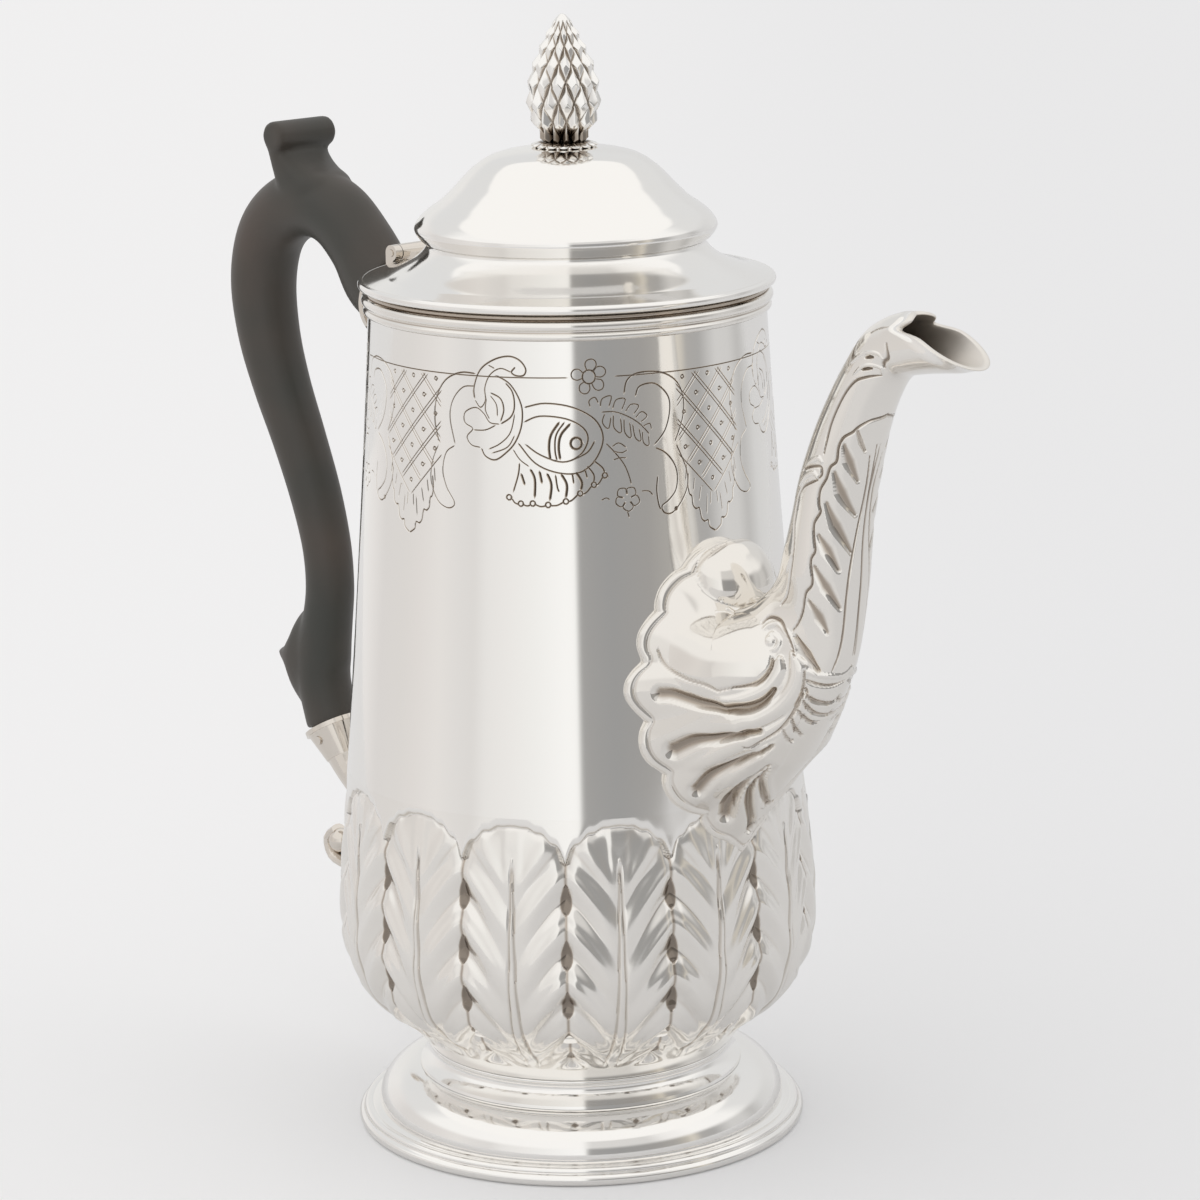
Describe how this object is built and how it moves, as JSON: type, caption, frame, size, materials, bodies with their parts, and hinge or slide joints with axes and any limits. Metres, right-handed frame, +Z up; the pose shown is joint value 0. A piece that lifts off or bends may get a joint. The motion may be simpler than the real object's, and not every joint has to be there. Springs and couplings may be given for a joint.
{
  "type": "coffee pot",
  "caption": "Tall silver coffee pot with a hinged domed lid, cone finial, cast shell-based spout and dark wooden side handle.",
  "frame": {"origin": "centre of the foot's underside", "axes": "+Z up along the body's axis, +X towards the spout, -X towards the handle"},
  "size_m": [0.2556, 0.1192, 0.2758],
  "materials": {
    "silver": "polished sterling silver with soft old wear and dark tarnish in the recesses",
    "wood": "dark stained fruitwood, waxed and nearly matt"
  },
  "bodies": {
    "pot": {"body_shell": "silver", "rim_moulding": "silver", "foot_collar": "silver", "foot_dome": "silver", "foot_rim": "silver", "spout_left": "silver", "spout_right": "silver", "handle": "wood", "upper_socket": "silver", "lower_socket": "silver", "lower_scroll": "silver", "upper_socket_pin": "silver", "lower_socket_pin": "silver", "hinge_bracket": "silver", "hinge_pin": "silver"},
    "lid": {"hinge_leaf": "silver", "lid_dome": "silver", "lid_wire": "silver", "lid_bezel": "silver", "finial_cone": "silver", "finial_calyx": "silver", "finial_stud": "silver", "finial_washer": "silver", "finial_nut": "silver"}
  },
  "joints": [
    {"name": "lid_hinge", "type": "hinge", "parent": "pot", "child": "lid", "pos_m": [-0.0516, 0, 0.2146], "axis": [0, -1, 0], "range_deg": [0, 100]}
  ]
}
